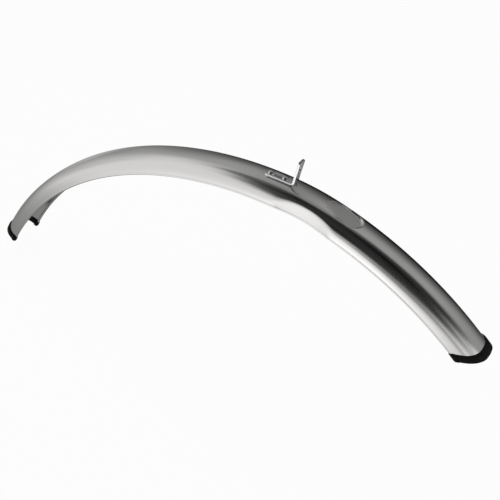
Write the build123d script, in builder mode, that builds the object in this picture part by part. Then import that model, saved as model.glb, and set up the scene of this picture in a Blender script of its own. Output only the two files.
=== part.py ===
from build123d import *
import math
import os

# Front mudguard of a 28-inch roadster bicycle: a pressed steel blade with rolled rims, a bent strip
# bracket riveted on its crown, and a rubber trim pushed over each end of the blade.
#
# Frame: the origin is the centre of the bolt hole in the bracket's upright leg. +X points forward
# along the bolt, +Z up along the leg and +Y to the rider's left. All sizes are in millimetres.
# A run is a distance along the crown line from the foot of the leg, forward positive.

# Blade, along the crown line
REAR_RADIUS = 365.0  # crown radius behind the leg
BEND_RADIUS = 245.0  # tighter crown radius between the fork blades
FRONT_RADIUS = 390.0  # crown radius ahead of the fork
REAR_LENGTH = 424.5  # from the leg back to the rear edge
BEND_LENGTH = 44.5  # from the leg forward to the end of the tighter stretch
FRONT_LENGTH = 178.0  # from there to the front edge
FRONT_RAKE = 34.0  # degrees that the front edge slopes back from the crown to the rims

# Blade, across the crown line
SHEET = 0.8
BLADE_WIDTH = 39.0  # over the outer faces of the walls, at the rims
BLADE_DEPTH = 18.3  # from the crown to the lowest point of the rims
CROWN_RADIUS = 50.0
SHOULDER_RADIUS = 13.0
WALL_LEAN = 10.0  # degrees that the walls spread from upright
RIM_HEIGHT = 2.6  # rim rolled inwards and pressed flat-sided
RIM_THICKNESS = 2.4
RIM_CHAMFER = 0.7
RIM_STANDOUT = 0.3  # how far the rim stands out from the wall

# Flats pressed into both walls and rims so that the blade passes between the fork blades
FLAT_RUN = 22.0  # middle of the flats
FLAT_INSET = 1.8  # how far each wall is pressed in, at the height of the rims
FLAT_LEAN = 9.0  # degrees that the flats spread from upright
FORMER_RADIUS = 215.0  # radius of the press former, seen from above

# Recess pressed into the crown ahead of the fork, running out towards the leg
RECESS_FRONT_RUN = 69.0
RECESS_LENGTH = 34.0
RECESS_WIDTH = 18.5
RECESS_DEPTH = 2.5  # below the crown, at the front end
RECESS_DRAFT = 30.0  # degrees of slope on the recess wall

# Bracket: a strip bent to an L, with its base on a flat pressed into the crown
STRIP_THICKNESS = 2.0
STRIP_WIDTH = 10.0
STRIP_BEND_RADIUS = 2.0  # inside the bend
BASE_LENGTH = 29.5  # from the middle of the leg to the rear end
LEG_HEIGHT = 26.0  # from the seat to the top of the leg
LEG_LEAN = 7.0  # degrees that the bend is opened past square
BASE_CORNER = 4.0
LEG_CORNER = 2.5
SEAT_DEPTH = 0.4  # flat on the crown, below the crown line at its middle
BOLT_HOLE_HEIGHT = 17.0  # bolt hole above the seat
BOLT_HOLE_DIAMETER = 5.5

# Rivets through the base and the blade
RIVET_END_DISTANCE = 5.75  # rear rivet from the rear end of the base
RIVET_PITCH = 14.5
RIVET_DIAMETER = 4.0
RIVET_CLEARANCE = 0.1  # between shank and hole, all round
RIVET_HEAD_DIAMETER = 7.0
RIVET_HEAD_HEIGHT = 2.2
RIVET_HEAD_BANDS = 2  # cone bands that stand for the dome of the head
CLENCH_DIAMETER = 6.0
CLENCH_HEIGHT = 1.4

# Rubber trim over each end of the blade
TRIM_GRIP = 4.6  # how far it reaches along the blade
TRIM_WALL = 1.3
TRIM_CLEARANCE = 0.2

# Reach of the cutting shapes past the faces that they cut
OVERRUN = 6.0
FORMER_REACH = 40.0

# Worked out: the seat of the bracket and the planes across the crown line
seat = Plane(
    origin=(0, 0, -BOLT_HOLE_HEIGHT),
    x_dir=Vector(1, 0, 0).rotate(Axis.Y, -LEG_LEAN),
    z_dir=Vector(0, 0, 1).rotate(Axis.Y, -LEG_LEAN),
)
seat_middle = -BASE_LENGTH / 2
rim_drop = BLADE_DEPTH - RIM_HEIGHT / 2
wall_lean = math.radians(WALL_LEAN)
rear_rivet = RIVET_END_DISTANCE - BASE_LENGTH
rivet_spots = ((rear_rivet, 0), (rear_rivet + RIVET_PITCH, 0))
rivet_hole_radius = RIVET_DIAMETER / 2 + RIVET_CLEARANCE
rake_run = BLADE_DEPTH * math.tan(math.radians(FRONT_RAKE))
front_run = BEND_LENGTH + FRONT_LENGTH
flat_half = math.sqrt(FLAT_INSET * (2 * FORMER_RADIUS - FLAT_INSET))  # half of the flats' length, at the rims


def follow(start, radius, run):
    """The plane across the crown line, reached by following an arc of that radius from another."""
    turn = math.degrees(run / radius)
    centre = start.origin - start.y_dir * radius
    outward = start.y_dir.rotate(Axis.Y, turn)
    forward = start.z_dir.rotate(Axis.Y, turn)
    return Plane(origin=centre + outward * radius, x_dir=(0, 1, 0), z_dir=forward)


crown_over_seat = seat.from_local_coords(Vector(seat_middle, 0, SEAT_DEPTH))
seat_section = Plane(origin=crown_over_seat, x_dir=(0, 1, 0), z_dir=seat.x_dir)
bend_start = follow(seat_section, REAR_RADIUS, -seat_middle)
bend_end = follow(bend_start, BEND_RADIUS, BEND_LENGTH)


def section_plane(run):
    """The plane across the blade at a run, with local x to the left and y outwards from the crown."""
    if run <= 0:
        return follow(bend_start, REAR_RADIUS, run)
    if run <= BEND_LENGTH:
        return follow(bend_start, BEND_RADIUS, run)
    return follow(bend_end, FRONT_RADIUS, run - BEND_LENGTH)


def turning(plane, radius):
    """The axis that an arc of the crown line turns about."""
    return Axis(plane.origin - plane.y_dir * radius, (0, 1, 0))


def wall_face(drop):
    """Distance of the wall's outer face from the middle of the blade, at a drop below the crown."""
    return BLADE_WIDTH / 2 - (BLADE_DEPTH - drop) * math.tan(wall_lean)


def arch(inset, bottom):
    """The filled arch of the section, drawn in from the sheet's outer face, down to a drop."""
    wall_reach = BLADE_WIDTH / 2 * math.cos(wall_lean) + (CROWN_RADIUS - BLADE_DEPTH) * math.sin(wall_lean)
    centre_gap = CROWN_RADIUS - SHOULDER_RADIUS
    crown_angle = math.pi / 2 - wall_lean - math.acos((wall_reach - SHOULDER_RADIUS) / centre_gap)
    crown_half = math.degrees(crown_angle)
    shoulder_x = centre_gap * math.sin(crown_angle)
    shoulder_y = centre_gap * math.cos(crown_angle) - CROWN_RADIUS
    with BuildSketch() as filled:
        with BuildLine():
            CenterArc((0, -CROWN_RADIUS), CROWN_RADIUS - inset, 90 - crown_half, 2 * crown_half)
            shoulder = CenterArc(
                (shoulder_x, shoulder_y),
                SHOULDER_RADIUS - inset,
                WALL_LEAN,
                90 - crown_half - WALL_LEAN,
            )
            corner = (wall_face(bottom) - inset / math.cos(wall_lean), -bottom)
            Line(shoulder @ 0, corner)
            Line(corner, (0, -bottom))
            mirror(about=Plane.YZ)
        make_face()
    return filled.sketch


rim_side = wall_face(rim_drop) + RIM_STANDOUT - RIM_THICKNESS / 2
rim_spots = ((rim_side, -rim_drop), (-rim_side, -rim_drop))


def rim_section(spots, margin):
    """The section of the rolled rim at each of some spots, grown all round by a margin."""
    # A chamfer at 45 degrees keeps its margin where it grows by this share of it
    chamfer_growth = 2 - math.sqrt(2)
    with BuildSketch() as rolled:
        with Locations(*spots):
            Rectangle(RIM_THICKNESS + 2 * margin, RIM_HEIGHT + 2 * margin)
        chamfer(rolled.vertices(), length=RIM_CHAMFER + margin * chamfer_growth)
    return rolled.sketch


def rim_middle(side, run, inset):
    """A point on the middle line of one side's rim, moved in by an inset."""
    return section_plane(run).from_local_coords(Vector(side * (rim_side - inset), -rim_drop, 0))


def rolled_rim(side):
    """The rolled rim of one side, pressed in along an arc beside the fork blade."""
    first, last = -REAR_LENGTH - OVERRUN, front_run + OVERRUN
    flat_start, flat_end = FLAT_RUN - flat_half, FLAT_RUN + flat_half
    # Runs at which the middle line goes over from one arc to the next
    changes = sorted({first, min(0, flat_start), flat_start})
    changes += sorted({flat_end, max(BEND_LENGTH, flat_end), last})
    with BuildPart() as rolled:
        with BuildLine() as middle_line:
            for start, end in zip(changes, changes[1:]):
                inset = FLAT_INSET if start == flat_start else 0
                ThreePointArc(
                    rim_middle(side, start, 0),
                    rim_middle(side, (start + end) / 2, inset),
                    rim_middle(side, end, 0),
                )
        across = section_plane(first)
        with BuildSketch(Plane(origin=middle_line.line @ 0, x_dir=across.x_dir, z_dir=across.z_dir)):
            add(rim_section([(0, 0)], 0))
        sweep(path=middle_line.wire(), transition=Transition.RIGHT)
    return rolled.part


def end_section(margin):
    """The sheet and both rims in section, grown all round by a margin."""
    with BuildSketch() as grown:
        add(arch(-margin, rim_drop))
        add(arch(SHEET + margin, rim_drop + OVERRUN), mode=Mode.SUBTRACT)
        add(rim_section(rim_spots, margin))
    return grown.sketch


def follow_crown(profile):
    """A profile carried along the three arcs of the crown line, past both ends by an overrun."""
    rear_start = section_plane(-REAR_LENGTH - OVERRUN)
    stretches = (
        (rear_start, REAR_RADIUS, REAR_LENGTH + OVERRUN),
        (bend_start, BEND_RADIUS, BEND_LENGTH),
        (bend_end, FRONT_RADIUS, FRONT_LENGTH + OVERRUN),
    )
    with BuildPart() as carried:
        for plane, radius, length in stretches:
            with BuildSketch(plane):
                add(profile)
            revolve(axis=turning(plane, radius), revolution_arc=math.degrees(length / radius))
    return carried.part


def pressed_form(inset, bottom):
    """The filled form of the pressed blade, drawn in by an inset from the sheet's outer face."""
    with BuildPart() as form:
        add(follow_crown(arch(inset, bottom)))
        # Flat under the bracket
        with BuildSketch(seat.offset(-inset)):
            with Locations((seat_middle, 0)):
                Rectangle(2 * BASE_LENGTH, BLADE_WIDTH)
        extrude(amount=OVERRUN, mode=Mode.SUBTRACT)
        # Flats beside the fork blades
        across = section_plane(FLAT_RUN)
        lean = math.radians(FLAT_LEAN)
        flat_side = wall_face(rim_drop) - FLAT_INSET
        for side in (1, -1):
            outward = across.x_dir * side * math.cos(lean) + across.y_dir * math.sin(lean)
            down = across.x_dir * side * math.sin(lean) - across.y_dir * math.cos(lean)
            on_flat = across.from_local_coords(Vector(side * flat_side, -rim_drop, 0))
            former = Plane(origin=on_flat + outward * FORMER_RADIUS, x_dir=across.z_dir, z_dir=down)
            with BuildSketch(former):
                Circle(FORMER_RADIUS + inset)
            extrude(amount=FORMER_REACH, both=True, mode=Mode.SUBTRACT)
        # Recess on the crown
        rear = section_plane(RECESS_FRONT_RUN - RECESS_LENGTH)
        front = section_plane(RECESS_FRONT_RUN)
        toe = front.origin - front.y_dir * RECESS_DEPTH
        along = (toe - rear.origin).normalized()
        floor = Plane(origin=toe, x_dir=along, z_dir=along.cross(Vector(0, 1, 0))).offset(-inset)
        rise = OVERRUN + inset
        spread = rise * math.tan(math.radians(RECESS_DRAFT))
        for height, grow in ((0, inset), (rise, inset + spread)):
            with BuildSketch(floor.offset(height)):
                with Locations((-RECESS_LENGTH / 2, 0)):
                    SlotOverall(RECESS_LENGTH + 2 * grow, RECESS_WIDTH + 2 * grow)
        loft(mode=Mode.SUBTRACT)
    return form.part


front_section = section_plane(front_run)
front_slope = front_section.z_dir.rotate(Axis.Y, FRONT_RAKE)
front_end = Plane(origin=front_section.origin, x_dir=(0, 1, 0), z_dir=front_slope)
rear_section = section_plane(-REAR_LENGTH)
rear_end = Plane(origin=rear_section.origin, x_dir=(0, 1, 0), z_dir=-rear_section.z_dir)


with BuildPart() as guard_blade:
    add(pressed_form(0, rim_drop))
    add(pressed_form(SHEET, rim_drop + OVERRUN), mode=Mode.SUBTRACT)
    add(rolled_rim(1))
    add(rolled_rim(-1))
    split(bisect_by=front_end, keep=Keep.BOTTOM)
    split(bisect_by=rear_end, keep=Keep.BOTTOM)
    with BuildSketch(seat):
        with Locations(*rivet_spots):
            Circle(rivet_hole_radius)
    extrude(amount=OVERRUN, both=True, mode=Mode.SUBTRACT)
guard_blade.part.label = "guard_blade"


with BuildPart() as fork_bracket:
    # The strip's middle line, from the rear end of the base round the bend to the top of the leg
    foot = Vector(0, STRIP_THICKNESS / 2 / math.cos(math.radians(LEG_LEAN)) - BOLT_HOLE_HEIGHT)
    rearward = Vector(-seat.x_dir.X, -seat.x_dir.Z)
    with BuildSketch(Plane.XZ):
        with BuildLine():
            FilletPolyline(
                foot + rearward * BASE_LENGTH,
                foot,
                (0, LEG_HEIGHT - BOLT_HOLE_HEIGHT),
                radius=STRIP_BEND_RADIUS + STRIP_THICKNESS / 2,
            )
        trace(line_width=STRIP_THICKNESS)
    extrude(amount=STRIP_WIDTH / 2, both=True)
    base_end = fork_bracket.faces().sort_by(Axis.X)[0]
    fillet(base_end.edges().filter_by(Axis.Y, reverse=True), radius=BASE_CORNER)
    leg_top = fork_bracket.faces().sort_by(Axis.Z)[-1]
    fillet(leg_top.edges().filter_by(Axis.X), radius=LEG_CORNER)
    with BuildSketch(seat):
        with Locations(*rivet_spots):
            Circle(rivet_hole_radius)
    extrude(amount=OVERRUN, both=True, mode=Mode.SUBTRACT)
    with BuildSketch(Plane.YZ):
        Circle(BOLT_HOLE_DIAMETER / 2)
    extrude(amount=OVERRUN, both=True, mode=Mode.SUBTRACT)
fork_bracket.part.label = "fork_bracket"


with BuildPart() as bracket_rivets:
    # The head's dome, from its top down to its rim on the strip
    head_angle = 2 * math.atan2(RIVET_HEAD_HEIGHT, RIVET_HEAD_DIAMETER / 2)
    head_radius = RIVET_HEAD_DIAMETER / 2 / math.sin(head_angle)
    head_top = STRIP_THICKNESS + RIVET_HEAD_HEIGHT
    dome = []
    for step in range(RIVET_HEAD_BANDS + 1):
        angle = head_angle * step / RIVET_HEAD_BANDS
        dome.append((head_radius * math.sin(angle), head_top - head_radius * (1 - math.cos(angle))))
    for spot_x, spot_y in rivet_spots:
        spot = seat.from_local_coords(Vector(spot_x, spot_y, 0))
        # Half of the rivet, seen from the side: local x from its axis, local y up from the seat
        with BuildSketch(Plane(origin=spot, x_dir=seat.x_dir, z_dir=(0, -1, 0))):
            with BuildLine():
                Polyline(
                    *dome,
                    (RIVET_DIAMETER / 2, STRIP_THICKNESS),
                    (RIVET_DIAMETER / 2, -SHEET),
                    (CLENCH_DIAMETER / 2, -SHEET),
                    (CLENCH_DIAMETER / 2, -SHEET - CLENCH_HEIGHT),
                    (0, -SHEET - CLENCH_HEIGHT),
                    close=True,
                )
            make_face()
        revolve(axis=Axis(spot, seat.z_dir))
bracket_rivets.part.label = "bracket_rivets"


def grown_end(end, middle, margin):
    """One end of the blade grown all round by a margin, cut off at that margin past its edge."""
    with BuildPart() as grown:
        with BuildSketch(middle):
            add(end_section(margin))
        extrude(amount=rake_run + TRIM_GRIP + OVERRUN, both=True)
        split(bisect_by=end.offset(margin), keep=Keep.BOTTOM)
    return grown.part


def end_trim(end, middle):
    """The trim over one end of the blade, with a slot that the sheet and its rims slip into."""
    with BuildPart() as trim:
        add(grown_end(end, middle, TRIM_CLEARANCE + TRIM_WALL))
        add(grown_end(end, middle, TRIM_CLEARANCE), mode=Mode.SUBTRACT)
        split(bisect_by=end.offset(-TRIM_GRIP), keep=Keep.TOP)
    return trim.part


with BuildPart() as front_end_trim:
    add(end_trim(front_end, section_plane(front_run - (rake_run + TRIM_GRIP) / 2)))
front_end_trim.part.label = "front_end_trim"

with BuildPart() as rear_end_trim:
    add(end_trim(rear_end, section_plane(TRIM_GRIP / 2 - REAR_LENGTH)))
rear_end_trim.part.label = "rear_end_trim"

os.makedirs("parts", exist_ok=True)
export_step(guard_blade.part, "parts/guard_blade.step")
export_step(fork_bracket.part, "parts/fork_bracket.step")
export_step(bracket_rivets.part, "parts/bracket_rivets.step")
export_step(front_end_trim.part, "parts/front_end_trim.step")
export_step(rear_end_trim.part, "parts/rear_end_trim.step")
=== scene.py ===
"""Dresses a front bicycle mudguard: polished blade, bracket, rivets and end trims, on a pale stage."""

import math

import bmesh
import bpy
from bpy.props import FloatProperty, FloatVectorProperty, PointerProperty
from mathutils import Euler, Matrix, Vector


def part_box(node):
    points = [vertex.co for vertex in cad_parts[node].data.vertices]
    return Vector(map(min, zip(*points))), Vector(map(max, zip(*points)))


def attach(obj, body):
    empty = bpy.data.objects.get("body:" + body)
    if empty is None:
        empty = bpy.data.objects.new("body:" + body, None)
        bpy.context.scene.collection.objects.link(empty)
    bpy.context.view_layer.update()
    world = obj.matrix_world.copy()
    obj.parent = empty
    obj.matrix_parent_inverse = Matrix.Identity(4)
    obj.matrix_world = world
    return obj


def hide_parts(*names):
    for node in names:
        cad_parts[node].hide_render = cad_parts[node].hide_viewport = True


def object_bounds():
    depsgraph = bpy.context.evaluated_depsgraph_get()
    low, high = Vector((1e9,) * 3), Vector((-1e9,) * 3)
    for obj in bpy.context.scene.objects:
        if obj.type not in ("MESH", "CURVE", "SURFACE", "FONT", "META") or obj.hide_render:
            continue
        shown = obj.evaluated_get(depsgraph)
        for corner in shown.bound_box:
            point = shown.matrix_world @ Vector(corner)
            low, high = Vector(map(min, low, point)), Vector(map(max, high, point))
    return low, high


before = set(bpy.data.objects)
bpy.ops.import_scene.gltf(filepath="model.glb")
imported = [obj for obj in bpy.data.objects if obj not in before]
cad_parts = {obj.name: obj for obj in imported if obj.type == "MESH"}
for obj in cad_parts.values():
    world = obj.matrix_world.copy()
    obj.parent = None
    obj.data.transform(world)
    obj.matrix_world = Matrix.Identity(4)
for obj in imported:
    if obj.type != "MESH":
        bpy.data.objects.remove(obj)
cad_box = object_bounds()

bl_info = {
    "name": "Bicycle Mudguard",
    "version": (1, 0, 0),
    "blender": (4, 5, 0),
    "location": "3D View > Sidebar > Mudguard",
    "description": "Builds a polished front mudguard with its fork bracket, rivets and rubber end trims",
    "category": "Add Mesh",
}

# Layout of a node tree in the editor
NODES_DOWN = 10
NODE_WIDTH = 190
NODE_HEIGHT = 170

# Spacing of the blade's mesh lines: along the crown line and across the sheet
PLAIN_ROW = 0.0026
SEAT_ROW = 0.0016
RECESS_ROW = 0.0006
CROWN_COLUMN = 0.00046
SHOULDER_COLUMN = 0.0012
WALL_COLUMN = 0.0014
RIM_COLUMN = 0.00042

# How far the closer rows run on past the bracket's base and past the recess
SEAT_MARGIN = 0.006
RECESS_MARGIN = 0.004

# Share of the shoulder that keeps the crown's closer columns
CROWN_SHARE = 0.3

# Stretch of the blade that leans back more and more to the raked front edge
RAKE_STRETCH = 0.06

# Height above the end of the wall over which the rim starts to go in whole with a flat
RIM_BAND = 0.002

# Brings the highest point of the bow's curve, along * along * (1 - along), to 1
BOW_SCALE = 27 / 4

# The edge of the bracket's seat is rounded over by this share of the press softness
SEAT_SOFTNESS = 0.18

# Share of the bracket's half width that the draft of its cut edges leaves alone
UNDRAFTED = 0.6

# Rivets: how many, and the steps in the arc of a head and round the axis
RIVET_COUNT = 2
HEAD_STEPS = 14
ROUND_STEPS = 64

# Rounding of a clenched end as a share of its height, and how far the middle of that rounding
# lies in from the corner as a share of the rounding
CLENCH_ROUNDING = 0.3
ROUNDING_MIDDLE = 0.3

# Points nearer than this are merged, and faces that meet flatter than this are joined
MERGE_DISTANCE = 1e-6
FLAT_ANGLE = math.radians(0.5)

# Edges sharper than this are rounded over, in so many steps
BEVEL_ANGLE = math.radians(38)
BEVEL_STEPS = 3

# Edges sharper than these stay sharp in the shading
BLADE_SHARP = math.radians(50)
RIVET_SHARP = math.radians(40)
SOFTENED_SHARP = math.radians(35)

# Studio light by direction: a level all round, patches that add light and patches that take away
# a share of it. Each has its azimuth, elevation, inner radius and outer radius, in degrees, and
# then its light or share
STUDIO_LEVEL = 0.22
GLOWS = (
    # The wide pale side, and a weak light beyond it
    (-36, -4, 16, 90, 0.5),
    (-112, 22, 14, 45, 0.12),
    # The floor in front, for the front walls
    (-5, -27, 7, 18, 0.28),
    (22, -30, 7, 20, 0.3),
    (-10, -62, 20, 45, 0.4),
    # Low lights for the wall ahead of the fork flat and for the nose
    (-5, -1, 4, 9, 0.4),
    (32, 8, 5, 32, 0.28),
    (40, 16, 5, 12, 0.22),
    (72, 22, 14, 30, 0.3),
    (88, 25, 11, 20, 0.45),
    (98, 32, 4, 10, 0.17),
    (112, 29, 4, 10, 0.17),
    # Grey on the far side, for the crown
    (125, 22, 15, 35, 0.07),
    (160, 58, 10, 32, 0.1),
    # Spots on the floor, for the rear end and the bracket's leg
    (-120, -28, 5, 14, 0.2),
    (150, -45, 10, 28, 0.4),
)
GAPS = (
    # The dark overhead, for the band along the near shoulder
    (2, 46, 30, 44, 0.95),
    (-12, 16, 10, 18, 0.6),
    (-6, 31, 5, 12, 0.4),
    (-60, 58, 10, 22, 0.78),
    (82, 64, 12, 31, 0.9),
    (121, 50, 8, 18, 0.42),
    # Greys in front, where the band fades into the wall
    (3, 2, 10, 24, 0.55),
    (14, -8, 8, 22, 0.33),
    (-15, -20, 5, 9, 0.08),
    # Greys to the left, for the rear stretch
    (-88, 0, 10, 30, 0.22),
    (-139, 12, 5, 14, 0.25),
    (-95, -48, 8, 32, 0.55),
    # The dark far side, for the far edge
    (182, -5, 12, 50, 0.97),
    (180, 30, 5, 22, 0.2),
    # A dark spot on the floor, for the bracket
    (66, -42, 10, 25, 0.75),
)

# Levels that the camera sees on the floor and behind it, which come out as the same white
FLOOR_WHITE = 1.0
BACKDROP_WHITE = 0.973

# The floor: its radius, its steps round, how far it lies below the part, and how much of what the
# camera sees of it is even white, where the rest shows the shadow
FLOOR_RADIUS = 6.0
FLOOR_STEPS = 96
FLOOR_DROP = 0.02
FLOOR_SHARE = 0.96

# The lamp overhead, which the steel doesn't mirror
LAMP_PLACE = Vector((-0.3, -0.2, 1.5))
LAMP_AIM = Vector((-0.05, 0, -0.1))
LAMP_SIZE = 1.6
LAMP_POWER = 12.0

# The camera: its place in metres, turn in degrees, lens in millimetres and near limit in metres
CAMERA_PLACE = (0.18222, -0.54843, 0.40310)
CAMERA_TURN = (47.4245, -12.3796, 31.5993)
CAMERA_LENS = 58.43
CAMERA_NEAR = 0.01


def length(label, text, millimetres):
    """A length that a user can change, given in millimetres and kept in metres."""
    return FloatProperty(
        name=label, description=text, default=millimetres / 1000, unit="LENGTH", precision=5
    )


def angle(label, text, degrees):
    """An angle that a user can change, given in degrees."""
    return FloatProperty(
        name=label, description=text, default=math.radians(degrees), subtype="ANGLE"
    )


def colour(label, text, value):
    """A colour that a user can change."""
    return FloatVectorProperty(
        name=label, description=text, default=value, subtype="COLOR", size=3, min=0.0, max=1.0
    )


class MudguardBladeSizes(bpy.types.PropertyGroup):
    """Sizes of the pressed blade."""

    rear_radius: length("Rear Radius", "Crown radius behind the bracket's leg", 365)
    bend_radius: length("Bend Radius", "Tighter crown radius between the fork blades", 245)
    front_radius: length("Front Radius", "Crown radius ahead of the fork", 390)
    rear_length: length("Rear Length", "From the leg back to the rear edge", 424.5)
    bend_length: length("Bend Length", "From the leg forward to the end of the tighter stretch", 44.5)
    front_length: length("Front Length", "From there to the front edge", 178)
    front_rake: angle("Front Rake", "Slope of the front edge from the crown to the rims", 34)
    sheet: length("Sheet", "Thickness of the steel sheet", 0.8)
    width: length("Width", "Width over the walls, at the rims", 39)
    depth: length("Depth", "From the crown to the bottom of the rims", 18.3)
    crown_radius: length("Crown Radius", "Radius across the crown", 50)
    shoulder_radius: length("Shoulder Radius", "Radius of the shoulders across the blade", 13)
    wall_lean: angle("Wall Lean", "Spread of the walls from upright", 10)
    wall_bow: length("Wall Bow", "How far the wall bows out between the shoulder and the rim", 0.22)
    rim_radius: length("Rim Radius", "Outer radius of the rolled rim", 1.3)
    rim_wrap: angle("Rim Wrap", "How far the edge of the sheet is rolled round", 300)
    neck_radius: length("Neck Radius", "Radius of the hollow line above the rolled rim", 1.5)
    neck_turn: angle("Neck Turn", "How far the wall turns out before the rim rolls in", 14)
    flat_run: length("Flat Run", "Middle of the flats for the fork blades, ahead of the leg", 22)
    flat_inset: length("Flat Inset", "How far each wall is pressed in, at the rims", 1.8)
    flat_lean: angle("Flat Lean", "Spread of the flats from upright", 9)
    former_radius: length("Former Radius", "Radius of the former that presses the flats", 215)
    recess_front: length("Recess Front", "Front end of the crown recess, ahead of the leg", 69)
    recess_length: length("Recess Length", "Length of the crown recess", 34)
    recess_width: length("Recess Width", "Width of the crown recess", 18.5)
    recess_depth: length("Recess Depth", "Depth of the crown recess at its front end", 2.5)
    recess_draft: angle("Recess Draft", "Slope of the recess wall from upright", 30)
    press_softness: length("Press Softness", "How far each pressed edge is rounded over", 1.2)


class MudguardFittingSizes(bpy.types.PropertyGroup):
    """Sizes of the bracket, the rivets and the trims."""

    seat_depth: length("Seat Depth", "Depth of the flat under the bracket, at its middle", 0.4)
    bolt_height: length("Bolt Height", "Bolt hole above the seat", 17)
    leg_lean: angle("Leg Lean", "How far the bracket's bend is opened past square", 7)
    base_length: length("Base Length", "From the leg to the rear end of the bracket's base", 29.5)
    strip_thickness: length("Strip Thickness", "Thickness of the bracket's strip", 2)
    strip_edge: length("Strip Edge", "Rounding on the edges of the bracket's strip", 0.42)
    strip_draft: angle("Strip Draft", "Lean of the strip's cut edges, from the punch", 9)
    rivet_end: length("Rivet End", "Rear rivet from the rear end of the base", 5.75)
    rivet_pitch: length("Rivet Pitch", "Distance between the rivets", 14.5)
    rivet_diameter: length("Rivet Diameter", "Diameter of the rivet shanks", 4)
    head_diameter: length("Head Diameter", "Diameter of the domed rivet heads", 7)
    head_height: length("Head Height", "Height of the domed rivet heads", 2.2)
    clench_diameter: length("Clench Diameter", "Diameter of the clenched ends under the blade", 6)
    clench_height: length("Clench Height", "Height of the clenched ends under the blade", 1.4)
    trim_edge: length("Trim Edge", "Rounding on the edges of the rubber trims", 0.5)


class MudguardFinishes(bpy.types.PropertyGroup):
    """Colours of the finishes and of the stage."""

    polished_steel: colour("Polished Steel", "Colour of the polished blade", (0.892, 0.884, 0.868))
    bracket_steel: colour("Bracket Steel", "Colour of the bracket's rolled faces", (0.72, 0.72, 0.73))
    # The cut edges' colour is a painted highlight, brighter than the rolled faces
    bracket_edge_highlight: colour("Bracket Edge", "Colour of the bracket's cut edges", (0.95, 0.95, 0.95))
    rivet_steel: colour("Rivet Steel", "Colour of the rivets", (0.78, 0.78, 0.79))
    trim_rubber: colour("Trim Rubber", "Colour of the rubber trims", (0.005, 0.005, 0.005))
    floor: colour("Floor", "Colour of the floor", (0.92, 0.92, 0.92))


class Wiring:
    """Adds nodes to a tree, so that a formula can be written as nested calls."""

    def __init__(self, tree):
        self.tree = tree

    def node(self, kind, **settings):
        made = self.tree.nodes.new(kind)
        column, row = divmod(len(self.tree.nodes), NODES_DOWN)
        made.location = (column * NODE_WIDTH, -row * NODE_HEIGHT)
        for name, value in settings.items():
            setattr(made, name, value)
        return made

    def feed(self, socket, value):
        if isinstance(value, bpy.types.NodeSocket):
            self.tree.links.new(value, socket)
        else:
            socket.default_value = value

    def fed(self, kind, inputs, **settings):
        made = self.node(kind, **settings)
        for name, value in inputs.items():
            self.feed(made.inputs[name], value)
        return made

    def math(self, operation, *values):
        made = self.node("ShaderNodeMath", operation=operation)
        for socket, value in zip(made.inputs, values):
            self.feed(socket, value)
        return made.outputs[0]

    def add(self, first, *others):
        total = first
        for value in others:
            total = self.math("ADD", total, value)
        return total

    def take(self, first, second):
        return self.math("SUBTRACT", first, second)

    def times(self, first, second):
        return self.math("MULTIPLY", first, second)

    def over(self, first, second):
        return self.math("DIVIDE", first, second)

    def between(self, value, low, high):
        return self.math("MINIMUM", self.math("MAXIMUM", value, low), high)

    def part(self, value, start, end):
        """How far a value is past a start, at most up to an end."""
        return self.take(self.between(value, start, end), start)

    def ramp(self, value, start, end, low=0.0, high=1.0):
        made = self.node("ShaderNodeMapRange", interpolation_type="SMOOTHSTEP")
        for socket, entry in zip(made.inputs[:5], (value, start, end, low, high)):
            self.feed(socket, entry)
        return made.outputs[0]

    def arc(self, run, radius, start):
        """How far a run on an arc goes ahead and down from a start slope, and its turn."""
        turn = self.over(run, radius)
        slope = self.add(start, turn)
        ahead = self.times(radius, self.take(self.math("SINE", slope), self.math("SINE", start)))
        down = self.times(radius, self.take(self.math("COSINE", start), self.math("COSINE", slope)))
        return ahead, down, turn


def sized_tree(name, sizes):
    """A geometry tree with a named input for each size and for the material, and its wiring."""
    tree = bpy.data.node_groups.new(name, "GeometryNodeTree")
    tree.interface.new_socket("Geometry", in_out="INPUT", socket_type="NodeSocketGeometry")
    for label, value in sizes.items():
        socket = tree.interface.new_socket(label, in_out="INPUT", socket_type="NodeSocketFloat")
        socket.default_value = value
    tree.interface.new_socket("Material", in_out="INPUT", socket_type="NodeSocketMaterial")
    tree.interface.new_socket("Geometry", in_out="OUTPUT", socket_type="NodeSocketGeometry")
    wiring = Wiring(tree)
    given = wiring.node("NodeGroupInput").outputs
    return tree, wiring, given


def close_tree(wiring, geometry, given):
    """Ends a geometry tree: instances made real, the material set, and the group's output."""
    real = wiring.fed("GeometryNodeRealizeInstances", {"Geometry": geometry})
    finished = wiring.fed(
        "GeometryNodeSetMaterial",
        {"Geometry": real.outputs["Geometry"], "Material": given["Material"]},
    )
    out = wiring.node("NodeGroupOutput")
    wiring.feed(out.inputs["Geometry"], finished.outputs["Geometry"])


def new_object(name, mesh):
    """An object at the origin, shown in the scene."""
    made = bpy.data.objects.new(name, mesh)
    bpy.context.scene.collection.objects.link(made)
    return made


def use_tree(obj, tree, values):
    """Puts a geometry tree on an object, with its inputs set by their identifiers."""
    modifier = obj.modifiers.new("Shape", "NODES")
    modifier.node_group = tree
    for entry in tree.interface.items_tree:
        if entry.in_out == "INPUT" and entry.name in values:
            modifier[entry.identifier] = values[entry.name]


def make_plain(obj, sharp_angle):
    """Turns an object with its modifiers into a plain mesh, smooth apart from its sharp edges."""
    evaluated = obj.evaluated_get(bpy.context.evaluated_depsgraph_get())
    plain = bpy.data.meshes.new_from_object(evaluated)
    if not plain.polygons:
        raise RuntimeError(f"{obj.name} came out with no faces")
    old = obj.data
    obj.modifiers.clear()
    obj.data = plain
    plain.name = obj.name
    bpy.data.meshes.remove(old)
    plain.shade_smooth()
    plain.set_sharp_from_angle(angle=sharp_angle)


def carry(obj, slot, *nodes):
    """Sets a piece in the place of its CAD nodes, on the part's one body."""
    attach(obj, "root")
    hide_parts(*nodes)


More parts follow.
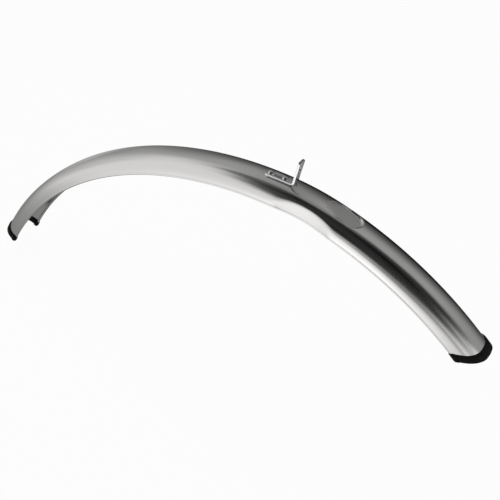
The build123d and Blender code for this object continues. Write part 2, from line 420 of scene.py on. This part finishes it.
def new_material(name):
    """A node material: its wiring and its main shader."""
    made = bpy.data.materials.new(name)
    made.use_nodes = True
    wiring = Wiring(made.node_tree)
    return made, wiring, made.node_tree.nodes["Principled BSDF"]


def noise(wiring, source, scale, detail=3.0):
    """A noise pattern, from 0 to 1, on object coordinates or the UV map, scaled by axis."""
    place = wiring.node("ShaderNodeTexCoord").outputs[source]
    scaled = wiring.fed("ShaderNodeMapping", {"Vector": place, "Scale": scale})
    made = wiring.fed(
        "ShaderNodeTexNoise", {"Vector": scaled.outputs["Vector"], "Scale": 1.0, "Detail": detail}
    )
    return made.outputs["Fac"]


def blended(wiring, factor, first, second):
    """A colour between two others."""
    mix = wiring.node("ShaderNodeMix", data_type="RGBA")
    # The colour sockets of a mix node come after its number and vector ones
    sockets = (mix.inputs[0], mix.inputs[6], mix.inputs[7])
    for socket, value in zip(sockets, (factor, first, second)):
        wiring.feed(socket, value)
    return mix.outputs[2]


def tinted(wiring, base, factor, spread):
    """A base colour that varies a little by a pattern."""
    low = [part * (1 - spread) for part in base]
    high = [min(1.0, part * (1 + spread)) for part in base]
    return blended(wiring, factor, (*low, 1), (*high, 1))


def bumped(wiring, shader, height, strength, distance):
    """Gives a shader a fine relief."""
    bump = wiring.fed(
        "ShaderNodeBump", {"Strength": strength, "Distance": distance, "Height": height}
    )
    wiring.feed(shader.inputs["Normal"], bump.outputs["Normal"])


def polished_steel(base):
    """Polished sheet: buffing lines along the blade and a faint unevenness of the pressed steel."""
    made, wiring, shader = new_material("polished_steel")
    shader.inputs["Metallic"].default_value = 1.0
    lines = noise(wiring, "UV", scale=(14, 1500, 1))
    sheet = noise(wiring, "UV", scale=(16, 34, 1), detail=1.0)
    wiring.feed(shader.inputs["Base Color"], tinted(wiring, base, sheet, spread=0.012))
    roughness = wiring.ramp(lines, start=0.25, end=0.75, low=0.16, high=0.21)
    wiring.feed(shader.inputs["Roughness"], roughness)
    line_height = 0.06
    height = wiring.add(wiring.times(lines, line_height), sheet)
    bumped(wiring, shader, height, strength=0.1, distance=0.0002)
    return made


def bracket_steel(base, edge):
    """Rolled strip with its grain along the strip, and a painted highlight: a brighter colour on its cut
    edges.
    """
    made, wiring, shader = new_material("bracket_steel")
    shader.inputs["Metallic"].default_value = 1.0
    grain = noise(wiring, "Object", scale=(160, 5200, 160), detail=4.0)
    patches = noise(wiring, "Object", scale=(180, 180, 180), detail=2.0)
    facing = wiring.node("ShaderNodeNewGeometry").outputs["Normal"]
    sideways = wiring.fed("ShaderNodeSeparateXYZ", {"Vector": facing}).outputs["Y"]
    # Painted highlight: faces turned sideways, the strip's cut edges, get the brighter edge colour
    cut_edge_highlight = wiring.ramp(wiring.math("ABSOLUTE", sideways), start=0.6, end=0.9)
    rolled = tinted(wiring, base, patches, spread=0.05)
    wiring.feed(shader.inputs["Base Color"], blended(wiring, cut_edge_highlight, rolled, (*edge, 1)))
    roughness = wiring.ramp(grain, start=0.2, end=0.8, low=0.18, high=0.3)
    wiring.feed(shader.inputs["Roughness"], roughness)
    bumped(wiring, shader, grain, strength=0.12, distance=0.00004)
    return made


def rivet_steel(base):
    """Bright rivet heads with faint marks of the setting tool."""
    made, wiring, shader = new_material("rivet_steel")
    shader.inputs["Metallic"].default_value = 1.0
    marks = noise(wiring, "Object", scale=(900, 900, 900))
    wiring.feed(shader.inputs["Base Color"], tinted(wiring, base, marks, spread=0.03))
    roughness = wiring.ramp(marks, start=0.3, end=0.7, low=0.24, high=0.34)
    wiring.feed(shader.inputs["Roughness"], roughness)
    bumped(wiring, shader, marks, strength=0.08, distance=0.00003)
    return made


def trim_rubber(base):
    """Moulded black rubber with a fine grain and a soft shine."""
    made, wiring, shader = new_material("trim_rubber")
    shader.inputs["Specular IOR Level"].default_value = 0.16
    grain = noise(wiring, "Object", scale=(2600, 2600, 2600))
    cloud = noise(wiring, "Object", scale=(120, 120, 120), detail=2.0)
    wiring.feed(shader.inputs["Base Color"], tinted(wiring, base, cloud, spread=0.35))
    roughness = wiring.ramp(cloud, start=0.3, end=0.7, low=0.34, high=0.5)
    wiring.feed(shader.inputs["Roughness"], roughness)
    bumped(wiring, shader, grain, strength=0.15, distance=0.00003)
    return made


def graded(stops):
    """Places of mesh lines from zero outwards, by (end, spacing) pairs."""
    places = [0.0]
    for end, spacing in stops:
        start = places[-1]
        count = max(1, math.ceil((end - start) / spacing))
        places += [start + (end - start) * step / count for step in range(1, count + 1)]
    return places


def section_runs(blade):
    """Where each stretch of the half section ends, measured over the sheet from the crown's middle."""
    lean = blade.wall_lean
    gap = blade.crown_radius - blade.shoulder_radius
    reach = blade.width / 2 * math.cos(lean) + (blade.crown_radius - blade.depth) * math.sin(lean)
    crown_angle = math.pi / 2 - lean - math.acos((reach - blade.shoulder_radius) / gap)
    crown_end = blade.crown_radius * crown_angle
    shoulder_end = crown_end + blade.shoulder_radius * (math.pi / 2 - lean - crown_angle)
    shoulder_drop = blade.crown_radius - gap * math.cos(crown_angle)
    shoulder_drop -= blade.shoulder_radius * math.sin(lean)
    # Drops of the neck and of the rim's middle, which set where the wall ends
    out = lean + blade.neck_turn
    neck_drop = blade.neck_radius * (math.sin(out) - math.sin(lean))
    middle_drop = neck_drop - blade.rim_radius * math.sin(out)
    wall = (blade.depth - blade.rim_radius - shoulder_drop - middle_drop) / math.cos(lean)
    wall_end = shoulder_end + wall
    neck_end = wall_end + blade.neck_radius * blade.neck_turn
    rim_end = neck_end + blade.rim_radius * blade.rim_wrap
    return crown_end, shoulder_end, wall_end, neck_end, rim_end


def leg_foot(blade, fitting):
    """The crown line's point at the foot of the leg, and its slope there, downwards positive."""
    lean, half = fitting.leg_lean, fitting.base_length / 2
    middle_x = -half * math.cos(lean) - fitting.seat_depth * math.sin(lean)
    middle_z = -fitting.bolt_height - half * math.sin(lean) + fitting.seat_depth * math.cos(lean)
    slope = half / blade.rear_radius - lean
    foot_x = middle_x + blade.rear_radius * (math.sin(slope) + math.sin(lean))
    foot_z = middle_z - blade.rear_radius * (math.cos(lean) - math.cos(slope))
    return foot_x, foot_z, slope


def join_lines(work, lines):
    """Faces between each line of points and the next."""
    for near, far in zip(lines, lines[1:]):
        for first in range(len(near) - 1):
            work.faces.new((near[first], far[first], far[first + 1], near[first + 1]))


def sheet_blank(name, rows, columns):
    """A flat sheet of mesh lines in the XY plane, with its UV map in metres."""
    mesh = bpy.data.meshes.new(name)
    work = bmesh.new()
    join_lines(work, [[work.verts.new((run, place, 0)) for place in columns] for run in rows])
    uv = work.loops.layers.uv.new("UVMap")
    for face in work.faces:
        for loop in face.loops:
            loop[uv].uv = loop.vert.co.xy
    work.to_mesh(mesh)
    work.free()
    return mesh


def press_tree(sizes):
    """Geometry nodes that bend a flat sheet to the section and crown line, and press its forms."""
    tree, wire, given = sized_tree("press_blade", sizes)
    position = wire.node("GeometryNodeInputPosition").outputs["Position"]
    at = wire.fed("ShaderNodeSeparateXYZ", {"Vector": position})
    run, across = at.outputs["X"], at.outputs["Y"]
    side = wire.math("SIGN", across)
    place = wire.math("ABSOLUTE", across)

    # Section: crown, shoulder, wall, neck and rolled rim, as a distance to the side and a drop
    crown_slope = wire.over(given["Crown End"], given["Crown Radius"])
    crown = wire.arc(wire.math("MINIMUM", place, given["Crown End"]), given["Crown Radius"], 0.0)
    on_shoulder = wire.part(place, given["Crown End"], given["Shoulder End"])
    shoulder = wire.arc(on_shoulder, given["Shoulder Radius"], crown_slope)
    wall_slope = wire.take(math.pi / 2, given["Wall Lean"])
    on_wall = wire.part(place, given["Shoulder End"], given["Wall End"])
    wall_out = wire.times(on_wall, wire.math("COSINE", wall_slope))
    wall_down = wire.times(on_wall, wire.math("SINE", wall_slope))
    on_neck = wire.part(place, given["Wall End"], given["Neck End"])
    neck = wire.arc(on_neck, wire.times(given["Neck Radius"], -1.0), wall_slope)
    rim_slope = wire.take(wall_slope, given["Neck Turn"])
    past_neck = wire.take(wire.math("MAXIMUM", place, given["Neck End"]), given["Neck End"])
    rim = wire.arc(past_neck, given["Rim Radius"], rim_slope)
    out = wire.add(crown[0], shoulder[0], wall_out, neck[0], rim[0])
    drop = wire.add(crown[1], shoulder[1], wall_down, neck[1], rim[1])

    # The wall isn't quite straight: it bows out from the middle of the shoulder to the neck
    bow_start = wire.over(wire.add(given["Crown End"], given["Shoulder End"]), 2.0)
    along = wire.over(wire.take(place, bow_start), wire.take(given["Wall End"], bow_start))
    along = wire.between(along, 0.0, 1.0)
    bow = wire.times(wire.times(along, along), wire.take(1.0, along))
    out = wire.add(out, wire.times(bow, wire.times(given["Wall Bow"], BOW_SCALE)))

    # The front edge slopes back: rows near it lean more and more
    lean_back = wire.ramp(run, wire.take(given["Front Run"], RAKE_STRETCH), given["Front Run"])
    rake = wire.times(drop, wire.math("TANGENT", given["Front Rake"]))
    run = wire.take(run, wire.times(rake, lean_back))

    # Flats beside the fork blades; the rolled rim goes in with them, whole
    from_flat = wire.take(run, given["Flat Run"])
    bulge = wire.over(wire.times(from_flat, from_flat), wire.times(given["Former Radius"], 2.0))
    rim_drop = wire.take(given["Depth"], given["Rim Radius"])
    wall_face = wire.take(
        wire.over(given["Width"], 2.0),
        wire.times(given["Rim Radius"], wire.math("TANGENT", given["Wall Lean"])),
    )
    above = wire.times(wire.take(rim_drop, drop), wire.math("TANGENT", given["Flat Lean"]))
    limit = wire.add(wire.take(wire.take(wall_face, given["Flat Inset"]), above), bulge)
    pressed = wire.math("SMOOTH_MIN", out, limit, given["Softness"])
    press_depth = wire.math("MAXIMUM", wire.take(given["Flat Inset"], bulge), 0.0)
    on_rim = wire.ramp(place, wire.take(given["Wall End"], RIM_BAND), given["Wall End"])
    out = wire.add(pressed, wire.times(wire.take(wire.take(out, press_depth), pressed), on_rim))

    # Flat under the bracket
    from_seat = wire.take(run, given["Seat Middle"])
    fall = wire.over(wire.times(from_seat, from_seat), wire.times(given["Rear Radius"], 2.0))
    seat_softness = wire.times(given["Softness"], SEAT_SOFTNESS)
    drop = wire.math("SMOOTH_MAX", drop, wire.take(given["Seat Depth"], fall), seat_softness)

    # Recess on the crown: a slot in plan with a sloping floor and drafted walls
    half_width = wire.over(given["Recess Width"], 2.0)
    recess_rear = wire.take(given["Recess Front"], given["Recess Length"])
    share = wire.over(wire.take(run, recess_rear), given["Recess Length"])
    chord = wire.over(
        wire.times(given["Recess Length"], given["Recess Length"]),
        wire.times(given["Front Radius"], 2.0),
    )
    floor = wire.add(
        wire.times(share, given["Recess Depth"]),
        wire.times(wire.times(share, wire.take(1.0, share)), chord),
    )
    rear_middle = wire.add(recess_rear, half_width)
    front_middle = wire.take(given["Recess Front"], half_width)
    beside = wire.take(run, wire.between(run, rear_middle, front_middle))
    apart = wire.math("SQRT", wire.add(wire.times(beside, beside), wire.times(out, out)))
    outside = wire.math("MAXIMUM", wire.take(apart, half_width), 0.0)
    slope = wire.over(outside, wire.math("TANGENT", given["Recess Draft"]))
    drop = wire.math("SMOOTH_MAX", drop, wire.take(floor, slope), given["Softness"])

    # Crown line: three arcs from the foot of the leg
    start = given["Foot Slope"]
    rear = wire.arc(wire.math("MINIMUM", run, 0.0), given["Rear Radius"], start)
    bend = wire.arc(wire.between(run, 0.0, given["Bend Length"]), given["Bend Radius"], start)
    front_slope = wire.add(start, wire.over(given["Bend Length"], given["Bend Radius"]))
    past_bend = wire.math("MAXIMUM", wire.take(run, given["Bend Length"]), 0.0)
    front = wire.arc(past_bend, given["Front Radius"], front_slope)
    slope = wire.add(start, rear[2], bend[2], front[2])
    ahead = wire.add(given["Foot X"], rear[0], bend[0], front[0])
    down = wire.add(rear[1], bend[1], front[1])

    height = wire.take(given["Foot Z"], down)
    formed = wire.fed(
        "ShaderNodeCombineXYZ",
        {
            "X": wire.take(ahead, wire.times(drop, wire.math("SINE", slope))),
            "Y": wire.times(out, side),
            "Z": wire.take(height, wire.times(drop, wire.math("COSINE", slope))),
        },
    )
    moved = wire.fed(
        "GeometryNodeSetPosition",
        {"Geometry": given["Geometry"], "Position": formed.outputs["Vector"]},
    )
    close_tree(wire, moved.outputs["Geometry"], given)
    return tree


def press_sizes(blade, fitting):
    """The named inputs of the press, from the sizes that a user sets and what follows from them."""
    crown_end, shoulder_end, wall_end, neck_end, _ = section_runs(blade)
    foot_x, foot_z, foot_slope = leg_foot(blade, fitting)
    return {
        "Rear Radius": blade.rear_radius,
        "Bend Radius": blade.bend_radius,
        "Front Radius": blade.front_radius,
        "Bend Length": blade.bend_length,
        "Front Run": blade.bend_length + blade.front_length,
        "Front Rake": blade.front_rake,
        "Foot X": foot_x,
        "Foot Z": foot_z,
        "Foot Slope": foot_slope,
        "Width": blade.width,
        "Depth": blade.depth,
        "Crown Radius": blade.crown_radius,
        "Crown End": crown_end,
        "Shoulder Radius": blade.shoulder_radius,
        "Shoulder End": shoulder_end,
        "Wall Lean": blade.wall_lean,
        "Wall End": wall_end,
        "Wall Bow": blade.wall_bow,
        "Neck Radius": blade.neck_radius,
        "Neck Turn": blade.neck_turn,
        "Neck End": neck_end,
        "Rim Radius": blade.rim_radius,
        "Flat Run": blade.flat_run,
        "Flat Inset": blade.flat_inset,
        "Flat Lean": blade.flat_lean,
        "Former Radius": blade.former_radius,
        "Seat Middle": -fitting.base_length / 2,
        "Seat Depth": fitting.seat_depth,
        "Recess Front": blade.recess_front,
        "Recess Length": blade.recess_length,
        "Recess Width": blade.recess_width,
        "Recess Depth": blade.recess_depth,
        "Recess Draft": blade.recess_draft,
        "Softness": blade.press_softness,
    }


class MUDGUARD_OT_blade(bpy.types.Operator):
    """Presses the polished blade from a flat sheet"""

    bl_idname = "mudguard.blade"
    bl_label = "Blade"

    def execute(self, context):
        blade = context.scene.mudguard_blade
        fitting = context.scene.mudguard_fitting
        sizes = press_sizes(blade, fitting)
        crown_end, shoulder_end, wall_end, _, rim_end = section_runs(blade)
        half = graded(
            (
                (crown_end + CROWN_SHARE * (shoulder_end - crown_end), CROWN_COLUMN),
                (shoulder_end, SHOULDER_COLUMN),
                (wall_end, WALL_COLUMN),
                (rim_end, RIM_COLUMN),
            )
        )
        columns = [-place for place in reversed(half[1:])] + half
        recess_rear = blade.recess_front - blade.recess_length
        forward = graded(
            (
                (recess_rear, SEAT_ROW),
                (blade.recess_front + RECESS_MARGIN, RECESS_ROW),
                (blade.bend_length + blade.front_length, PLAIN_ROW),
            )
        )
        backward = graded(
            (
                (fitting.base_length + SEAT_MARGIN, SEAT_ROW),
                (blade.rear_length, PLAIN_ROW),
            )
        )
        rows = [-place for place in reversed(backward[1:])] + forward
        made = new_object("polished_blade", sheet_blank("polished_blade", rows, columns))
        finish = polished_steel(context.scene.mudguard_finishes.polished_steel)
        use_tree(made, press_tree(sizes), {**sizes, "Material": finish})
        wall = made.modifiers.new("Sheet", "SOLIDIFY")
        wall.thickness = blade.sheet
        wall.offset = -1.0
        make_plain(made, BLADE_SHARP)
        carry(made, "polished_steel", "guard_blade")
        return {"FINISHED"}


def draft_edges(work, fitting):
    """Leans the cut edges of the bracket's base in towards its upper face."""
    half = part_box("fork_bracket")[1].y
    inset = fitting.strip_thickness * math.tan(fitting.strip_draft)
    up = Vector((-math.sin(fitting.leg_lean), 0, math.cos(fitting.leg_lean)))
    seat = Vector((0, 0, -fitting.bolt_height))
    for vert in work.verts:
        height = min(1.0, max(0.0, (vert.co - seat).dot(up) / fitting.strip_thickness))
        outer = max(0.0, abs(vert.co.y) / half - UNDRAFTED) / (1 - UNDRAFTED)
        vert.co.y -= math.copysign(inset * height * outer, vert.co.y)


def softened(node, name, edge, finish, shaped=None):
    """A copy of a CAD node with its edges rounded over, after a change of shape if one is given."""
    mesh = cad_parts[node].data.copy()
    mesh.name = name
    mesh.materials.clear()
    mesh.materials.append(finish)
    work = bmesh.new()
    work.from_mesh(mesh)
    bmesh.ops.remove_doubles(work, verts=work.verts, dist=MERGE_DISTANCE)
    bmesh.ops.dissolve_limit(
        work, angle_limit=FLAT_ANGLE, verts=work.verts, edges=work.edges, delimit=set()
    )
    if shaped:
        shaped(work)
    work.to_mesh(mesh)
    work.free()
    mesh.attributes.active_color = None
    made = new_object(name, mesh)
    bevel = made.modifiers.new("Edges", "BEVEL")
    bevel.width = edge
    bevel.segments = BEVEL_STEPS
    bevel.limit_method = "ANGLE"
    bevel.angle_limit = BEVEL_ANGLE
    make_plain(made, SOFTENED_SHARP)
    return made


class MUDGUARD_OT_bracket(bpy.types.Operator):
    """Makes the bent strip bracket with softened edges"""

    bl_idname = "mudguard.bracket"
    bl_label = "Bracket"

    def execute(self, context):
        finishes = context.scene.mudguard_finishes
        finish = bracket_steel(finishes.bracket_steel, finishes.bracket_edge_highlight)
        fitting = context.scene.mudguard_fitting
        made = softened(
            "fork_bracket",
            "bright_bracket",
            fitting.strip_edge,
            finish,
            lambda work: draft_edges(work, fitting),
        )
        carry(made, "bracket_steel", "fork_bracket")
        return {"FINISHED"}


def rivet_mesh(fitting, blade):
    """One rivet about the Z axis, with the seat at zero: domed head, shank and clenched end."""
    head_angle = 2 * math.atan2(fitting.head_height, fitting.head_diameter / 2)
    head_radius = fitting.head_diameter / 2 / math.sin(head_angle)
    top = fitting.strip_thickness + fitting.head_height
    profile = []
    for step in range(HEAD_STEPS + 1):
        turn = head_angle * step / HEAD_STEPS
        profile.append((head_radius * math.sin(turn), top - head_radius * (1 - math.cos(turn))))
    shank, clench = fitting.rivet_diameter / 2, fitting.clench_diameter / 2
    under = -blade.sheet
    foot = under - fitting.clench_height
    rounding = fitting.clench_height * CLENCH_ROUNDING
    inset = rounding * ROUNDING_MIDDLE
    profile += [
        (shank, fitting.strip_thickness),
        (shank, under),
        (clench, under),
        (clench, foot + rounding),
        (clench - inset, foot + inset),
        (clench - rounding, foot),
        (0, foot),
    ]
    mesh = bpy.data.meshes.new("rivet")
    work = bmesh.new()
    lines = []
    for step in range(ROUND_STEPS):
        # Turned clockwise, so that the faces look outwards
        turn = -math.tau * step / ROUND_STEPS
        ahead, beside = math.cos(turn), math.sin(turn)
        lines.append(
            [work.verts.new((radius * ahead, radius * beside, height)) for radius, height in profile]
        )
    join_lines(work, lines + lines[:1])
    bmesh.ops.remove_doubles(work, verts=work.verts, dist=MERGE_DISTANCE)
    work.to_mesh(mesh)
    work.free()
    return mesh


class MUDGUARD_OT_rivets(bpy.types.Operator):
    """Sets the rivets along the base of the bracket"""

    bl_idname = "mudguard.rivets"
    bl_label = "Rivets"

    def execute(self, context):
        blade, fitting = context.scene.mudguard_blade, context.scene.mudguard_fitting
        sizes = {
            "Seat Height": -fitting.bolt_height,
            "Seat Lean": fitting.leg_lean,
            "Rear Rivet": fitting.rivet_end - fitting.base_length,
            "Pitch": fitting.rivet_pitch,
        }
        tree, wire, given = sized_tree("set_rivets", sizes)
        rear = wire.fed("ShaderNodeCombineXYZ", {"X": given["Rear Rivet"]}).outputs["Vector"]
        pitch = wire.fed("ShaderNodeCombineXYZ", {"X": given["Pitch"]}).outputs["Vector"]
        row = wire.fed(
            "GeometryNodeMeshLine",
            {"Count": RIVET_COUNT, "Start Location": rear, "Offset": pitch},
        )
        set_in = wire.fed(
            "GeometryNodeInstanceOnPoints",
            {"Points": row.outputs["Mesh"], "Instance": given["Geometry"]},
        )
        lean = wire.times(given["Seat Lean"], -1.0)
        turned = wire.fed("ShaderNodeCombineXYZ", {"Y": lean}).outputs["Vector"]
        raised = wire.fed("ShaderNodeCombineXYZ", {"Z": given["Seat Height"]}).outputs["Vector"]
        seated = wire.fed(
            "GeometryNodeTransform",
            {"Geometry": set_in.outputs["Instances"], "Translation": raised, "Rotation": turned},
        )
        close_tree(wire, seated.outputs["Geometry"], given)
        made = new_object("domed_rivets", rivet_mesh(fitting, blade))
        finish = rivet_steel(context.scene.mudguard_finishes.rivet_steel)
        use_tree(made, tree, {**sizes, "Material": finish})
        make_plain(made, RIVET_SHARP)
        carry(made, "rivet_steel", "bracket_rivets")
        return {"FINISHED"}


class MUDGUARD_OT_trims(bpy.types.Operator):
    """Makes the rubber trims over both ends of the blade"""

    bl_idname = "mudguard.trims"
    bl_label = "End Trims"

    def execute(self, context):
        finish = trim_rubber(context.scene.mudguard_finishes.trim_rubber)
        edge = context.scene.mudguard_fitting.trim_edge
        for node, name in (("front_end_trim", "front_rubber"), ("rear_end_trim", "rear_rubber")):
            carry(softened(node, name, edge, finish), "trim_rubber", node)
        return {"FINISHED"}


def compass(azimuth, elevation):
    """A direction: azimuth 0 points along -Y and 90 along +X, in degrees."""
    turn, rise = math.radians(azimuth), math.radians(elevation)
    return (math.sin(turn) * math.cos(rise), -math.cos(turn) * math.cos(rise), math.sin(rise))


def patch(wiring, towards, azimuth, elevation, inner, outer):
    """A soft round patch of the studio about a direction: 1 inside, 0 outside."""
    facing = wiring.node("ShaderNodeVectorMath", operation="DOT_PRODUCT")
    wiring.feed(facing.inputs[0], towards)
    wiring.feed(facing.inputs[1], compass(azimuth, elevation))
    return wiring.ramp(
        facing.outputs["Value"], math.cos(math.radians(outer)), math.cos(math.radians(inner))
    )


def studio_light(wiring, towards):
    """Light of the studio by direction: its level, with the glows added and the gaps taken out."""
    light = STUDIO_LEVEL
    for azimuth, elevation, inner, outer, strength in GLOWS:
        glow = patch(wiring, towards, azimuth, elevation, inner, outer)
        light = wiring.add(light, wiring.times(glow, strength))
    for azimuth, elevation, inner, outer, share in GAPS:
        dark = patch(wiring, towards, azimuth, elevation, inner, outer)
        light = wiring.times(light, wiring.take(1.0, wiring.times(dark, share)))
    return light


def evened(wiring, light, path, level):
    """A light that is one even level to the camera, also through glass, and which rays see that."""
    direct = wiring.math("MAXIMUM", path["Is Camera Ray"], path["Is Transmission Ray"])
    even = wiring.times(direct, wiring.take(level, light))
    return wiring.add(light, even), direct


def studio_world():
    """The studio round the object."""
    world = bpy.data.worlds.new("studio")
    bpy.context.scene.world = world
    world.use_nodes = True
    wiring = Wiring(world.node_tree)
    towards = wiring.node("ShaderNodeTexCoord").outputs["Generated"]
    sky = world.node_tree.nodes["Background"]
    sky.inputs["Color"].default_value = (1, 1, 1, 1)
    path = wiring.node("ShaderNodeLightPath").outputs
    strength, _ = evened(wiring, studio_light(wiring, towards), path, BACKDROP_WHITE)
    wiring.feed(sky.inputs["Strength"], strength)


def stage_floor(base):
    """White floor with a faint shadow; in the steel it shows the studio's light and dark sides."""
    made, wiring, shader = new_material("pale_floor")
    shader.inputs["Base Color"].default_value = (*base, 1)
    shader.inputs["Roughness"].default_value = 0.9
    path = wiring.node("ShaderNodeLightPath").outputs
    towards = wiring.node("ShaderNodeVectorMath", operation="NORMALIZE")
    wiring.feed(towards.inputs[0], wiring.node("ShaderNodeTexCoord").outputs["Object"])
    light = studio_light(wiring, towards.outputs["Vector"])
    strength, direct = evened(wiring, light, path, FLOOR_WHITE)
    glow = wiring.fed("ShaderNodeEmission", {"Strength": strength})
    seen = wiring.add(wiring.times(direct, FLOOR_SHARE), path["Is Glossy Ray"])
    mix = wiring.node("ShaderNodeMixShader")
    wiring.feed(mix.inputs[0], seen)
    wiring.feed(mix.inputs[1], shader.outputs["BSDF"])
    wiring.feed(mix.inputs[2], glow.outputs["Emission"])
    out = made.node_tree.nodes["Material Output"]
    wiring.feed(out.inputs["Surface"], mix.outputs["Shader"])
    return made


class MUDGUARD_OT_stage(bpy.types.Operator):
    """Sets up the floor, the studio light and the camera"""

    bl_idname = "mudguard.stage"
    bl_label = "Stage"

    def execute(self, context):
        scene = context.scene
        scene.view_settings.view_transform = "Standard"
        studio_world()

        mesh = bpy.data.meshes.new("floor")
        work = bmesh.new()
        bmesh.ops.create_circle(work, cap_ends=True, segments=FLOOR_STEPS, radius=FLOOR_RADIUS)
        level = cad_box[0].z - FLOOR_DROP
        bmesh.ops.translate(work, verts=work.verts, vec=(0, 0, level))
        work.to_mesh(mesh)
        work.free()
        mesh.materials.append(stage_floor(scene.mudguard_finishes.floor))
        new_object("floor", mesh)

        lamp = bpy.data.lights.new("overhead", "AREA")
        lamp.shape = "DISK"
        lamp.size = LAMP_SIZE
        lamp.energy = LAMP_POWER
        overhead = bpy.data.objects.new("overhead", lamp)
        overhead.location = LAMP_PLACE
        overhead.rotation_euler = (LAMP_AIM - LAMP_PLACE).to_track_quat("-Z", "Y").to_euler()
        overhead.visible_glossy = False
        scene.collection.objects.link(overhead)

        lens = bpy.data.cameras.new("camera")
        lens.lens = CAMERA_LENS
        lens.clip_start = CAMERA_NEAR
        camera = bpy.data.objects.new("camera", lens)
        camera.location = CAMERA_PLACE
        camera.rotation_euler = Euler([math.radians(turn) for turn in CAMERA_TURN])
        scene.collection.objects.link(camera)
        scene.camera = camera
        return {"FINISHED"}


class MUDGUARD_PT_build(bpy.types.Panel):
    """Lists the mudguard's pieces, sizes and colours"""

    bl_idname = "MUDGUARD_PT_build"
    bl_label = "Mudguard"
    bl_space_type = "VIEW_3D"
    bl_region_type = "UI"
    bl_category = "Mudguard"

    def draw(self, context):
        layout = self.layout
        for group in (
            context.scene.mudguard_blade,
            context.scene.mudguard_fitting,
            context.scene.mudguard_finishes,
        ):
            box = layout.box()
            for name in group.__annotations__:
                box.prop(group, name)
        for operator in OPERATORS:
            layout.operator(operator.bl_idname)


GROUPS = (MudguardBladeSizes, MudguardFittingSizes, MudguardFinishes)
OPERATORS = (
    MUDGUARD_OT_stage,
    MUDGUARD_OT_blade,
    MUDGUARD_OT_bracket,
    MUDGUARD_OT_rivets,
    MUDGUARD_OT_trims,
)
CLASSES = (*GROUPS, *OPERATORS, MUDGUARD_PT_build)


def register():
    for entry in CLASSES:
        bpy.utils.register_class(entry)
    bpy.types.Scene.mudguard_blade = PointerProperty(type=MudguardBladeSizes)
    bpy.types.Scene.mudguard_fitting = PointerProperty(type=MudguardFittingSizes)
    bpy.types.Scene.mudguard_finishes = PointerProperty(type=MudguardFinishes)


def unregister():
    del bpy.types.Scene.mudguard_finishes
    del bpy.types.Scene.mudguard_fitting
    del bpy.types.Scene.mudguard_blade
    for entry in reversed(CLASSES):
        bpy.utils.unregister_class(entry)


def main():
    register()
    bpy.ops.mudguard.stage()
    bpy.ops.mudguard.blade()
    bpy.ops.mudguard.bracket()
    bpy.ops.mudguard.rivets()
    bpy.ops.mudguard.trims()


if __name__ == "__main__":
    main()
